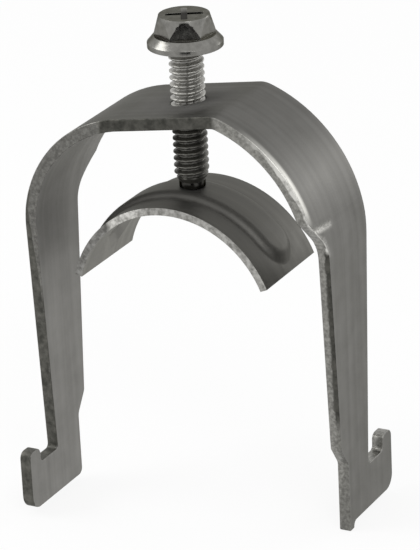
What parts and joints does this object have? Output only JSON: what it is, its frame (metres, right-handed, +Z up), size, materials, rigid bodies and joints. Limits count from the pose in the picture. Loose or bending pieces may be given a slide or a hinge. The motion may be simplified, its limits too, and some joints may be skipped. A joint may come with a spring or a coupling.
{
  "type": "strut pipe clamp",
  "caption": "Steel strap clamp with two hooked feet for slotted strut channel and a screw-driven curved saddle that holds a pipe.",
  "frame": {"origin": "midway between the two feet, level with the lowest point of the clamp", "axes": "+Z up along the screw, +X towards the right leg, whose hook points to +Y; the pipe runs along Y"},
  "size_m": [0.0594, 0.036, 0.0963],
  "materials": {
    "strap": "zinc-plated sheet steel",
    "clamp_screw": "zinc-plated steel screw",
    "saddle": "zinc-plated sheet steel"
  },
  "bodies": {
    "strap": {"strap": "strap"},
    "saddle": {"saddle": "saddle"},
    "clamp_screw": {"clamp_screw": "clamp_screw"}
  },
  "joints": [
    {"name": "saddle_slide", "type": "slide", "parent": "strap", "child": "saddle", "axis": [0, 0, 1], "range_m": [-0.0091, 0.0129]},
    {"name": "screw_turn", "type": "hinge", "parent": "saddle", "child": "clamp_screw", "pos_m": [0, 0, 0.06383], "axis": [0, 0, 1], "range_deg": [-2590, 3670]}
  ],
  "couplings": [
    {"joint": "screw_turn", "follows": "saddle_slide", "rad_per_m": 4947.4}
  ]
}
